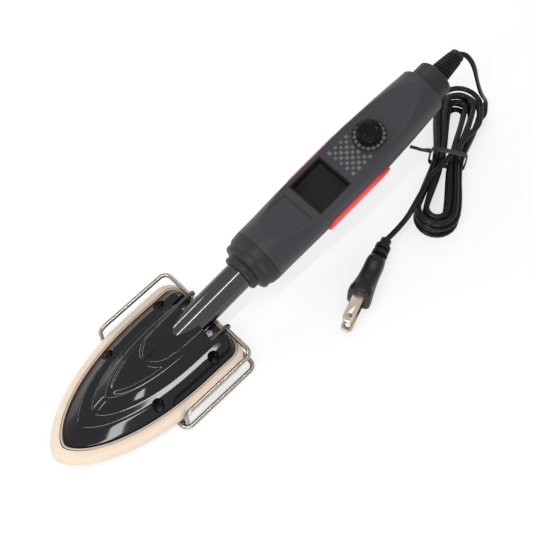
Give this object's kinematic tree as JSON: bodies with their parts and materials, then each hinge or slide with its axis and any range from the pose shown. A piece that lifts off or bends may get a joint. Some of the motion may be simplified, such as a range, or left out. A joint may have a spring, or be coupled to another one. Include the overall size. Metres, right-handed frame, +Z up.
{
  "type": "sealing iron",
  "caption": "Small cloth-covered heated shoe on a dialled handle, with a folding wire stand and a wound mains cord.",
  "frame": {"origin": "centre of the iron's box, without its cord, on the table that its stand rests on", "axes": "+X from the shoe's nose to the cord boot, +Z up from the table"},
  "size_m": [0.3172, 0.0919, 0.0651],
  "materials": {
    "shoe_metal": "machined",
    "element": "dark mineral and metal",
    "insulation": "pressed mineral sheet",
    "plated_steel": "zinc plated",
    "black_cover": "high gloss black",
    "dark_screw": "blackened",
    "knit_cloth": "fine knit",
    "hem_cloth": "rolled hem",
    "ceramic": "glazed white",
    "sensor_body": "glossy",
    "wire": "polished wire",
    "bracket": "satin",
    "black_tube": "high gloss black",
    "handle_plastic": "fine matte",
    "collar_plastic": "fine matte",
    "red_inlay": "satin red",
    "tray_plastic": "matte",
    "dial_face": "printed scale",
    "knob_plastic": "glossy",
    "shaft_metal": "turned",
    "board": "solder mask",
    "pot_body": "moulded",
    "black_part": "moulded",
    "capacitor_body": "dipped",
    "resistor_body": "dipped",
    "heat_sink_metal": "folded sheet",
    "terminal_plastic": "moulded",
    "lead_white": "glass sleeve",
    "lead_yellow": "sleeve",
    "lead_grey": "insulated wire",
    "cord_black": "soft gloss",
    "tie_black": "coated wire",
    "blade_metal": "nickelled"
  },
  "bodies": {
    "iron": {"shoe": "shoe_metal", "heating_element": "element", "insulation_sheet": "insulation", "clamp_plate": "plated_steel", "clamp_screws": "plated_steel", "shoe_cover": "black_cover", "cover_screws": "dark_screw", "sock": "knit_cloth", "sock_hem": "hem_cloth", "thermal_fuse": "ceramic", "temperature_sensor": "sensor_body", "stand_bracket": "bracket", "bracket_screws": "plated_steel", "stem_tube": "black_tube", "tube_flange": "plated_steel", "flange_screws": "plated_steel", "heater_leads": "lead_white", "sensor_lead": "lead_yellow", "nose_collar": "collar_plastic", "handle_top_shell": "handle_plastic", "handle_bottom_shell": "handle_plastic", "shell_screws": "plated_steel", "red_strip_left": "red_inlay", "red_strip_right": "red_inlay", "display_tray": "tray_plastic", "dial_plate": "dial_face", "circuit_board": "board", "potentiometer": "pot_body", "triac": "black_part", "heat_sink": "heat_sink_metal", "capacitor": "capacitor_body", "resistors": "resistor_body", "terminal_block": "terminal_plastic", "tube_clamp": "collar_plastic", "tube_clamp_screws": "plated_steel", "mains_leads": "lead_grey", "cord_clamp": "collar_plastic", "cord_clamp_screws": "plated_steel", "end_cap": "collar_plastic", "strain_relief": "cord_black", "cord_drop": "cord_black", "cord_hank": "cord_black", "cord_tail": "cord_black", "hank_tie": "tie_black", "plug_body": "cord_black", "plug_blades": "blade_metal"},
    "dial": {"dial_knob": "knob_plastic", "dial_shaft": "shaft_metal"},
    "stand": {"stand_rails": "wire", "stand_foot": "wire"}
  },
  "joints": [
    {"name": "dial_turn", "type": "hinge", "parent": "iron", "child": "dial", "pos_m": [0.07784, 0, 0.05534], "axis": [-0.1633, 0, 0.9866], "range_deg": [-280, 0]},
    {"name": "stand_fold", "type": "hinge", "parent": "iron", "child": "stand", "pos_m": [-0.04225, 0, 0.0175], "axis": [0, -1, 0], "range_deg": [0, 155]}
  ]
}
